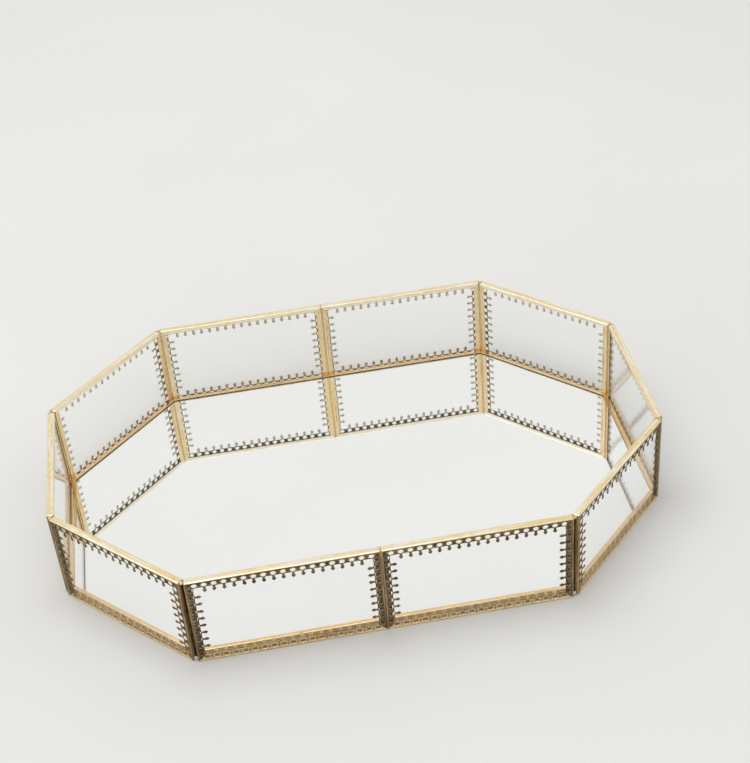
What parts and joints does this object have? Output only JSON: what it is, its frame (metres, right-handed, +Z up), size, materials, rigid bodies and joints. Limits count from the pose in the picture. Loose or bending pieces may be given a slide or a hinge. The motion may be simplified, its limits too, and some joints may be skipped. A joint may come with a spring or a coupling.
{
  "type": "vanity tray",
  "caption": "Shallow octagonal vanity tray with a mirror floor and low clear glass walls framed in lace-edged brass channel, for holding perfume bottles and jewellery.",
  "frame": {"origin": "middle of the tray's footprint, on the surface it stands on", "axes": "+X along the long sides to the right end, -Y to the front, +Z up"},
  "size_m": [0.2998, 0.2028, 0.05],
  "materials": {
    "lace_brass": "polished pierced lace with a brown patina in the recesses",
    "base_brass": "polished plain channel",
    "clear_glass": "clear float glass",
    "mirror": "silvered glass with a painted back",
    "solder": "bright tin solder"
  },
  "bodies": {
    "root": {"back_base_strip": "base_brass", "back_left_bottom_strip": "lace_brass", "back_left_corner_base_strip": "base_brass", "back_left_corner_bottom_strip": "lace_brass", "back_left_corner_left_strip": "lace_brass", "back_left_corner_pane": "clear_glass", "back_left_corner_right_strip": "lace_brass", "back_left_corner_top_strip": "lace_brass", "back_left_left_strip": "lace_brass", "back_left_pane": "clear_glass", "back_left_right_strip": "lace_brass", "back_left_top_strip": "lace_brass", "back_right_bottom_strip": "lace_brass", "back_right_corner_base_strip": "base_brass", "back_right_corner_bottom_strip": "lace_brass", "back_right_corner_left_strip": "lace_brass", "back_right_corner_pane": "clear_glass", "back_right_corner_right_strip": "lace_brass", "back_right_corner_top_strip": "lace_brass", "back_right_left_strip": "lace_brass", "back_right_pane": "clear_glass", "back_right_right_strip": "lace_brass", "back_right_top_strip": "lace_brass", "corner_solder": "solder", "front_base_strip": "base_brass", "front_left_bottom_strip": "lace_brass", "front_left_corner_base_strip": "base_brass", "front_left_corner_bottom_strip": "lace_brass", "front_left_corner_left_strip": "lace_brass", "front_left_corner_pane": "clear_glass", "front_left_corner_right_strip": "lace_brass", "front_left_corner_top_strip": "lace_brass", "front_left_left_strip": "lace_brass", "front_left_pane": "clear_glass", "front_left_right_strip": "lace_brass", "front_left_top_strip": "lace_brass", "front_right_bottom_strip": "lace_brass", "front_right_corner_base_strip": "base_brass", "front_right_corner_bottom_strip": "lace_brass", "front_right_corner_left_strip": "lace_brass", "front_right_corner_pane": "clear_glass", "front_right_corner_right_strip": "lace_brass", "front_right_corner_top_strip": "lace_brass", "front_right_left_strip": "lace_brass", "front_right_pane": "clear_glass", "front_right_right_strip": "lace_brass", "front_right_top_strip": "lace_brass", "left_end_base_strip": "base_brass", "left_end_bottom_strip": "lace_brass", "left_end_left_strip": "lace_brass", "left_end_pane": "clear_glass", "left_end_right_strip": "lace_brass", "left_end_top_strip": "lace_brass", "mirror_pane": "mirror", "right_end_base_strip": "base_brass", "right_end_bottom_strip": "lace_brass", "right_end_left_strip": "lace_brass", "right_end_pane": "clear_glass", "right_end_right_strip": "lace_brass", "right_end_top_strip": "lace_brass"}
  },
  "joints": []
}
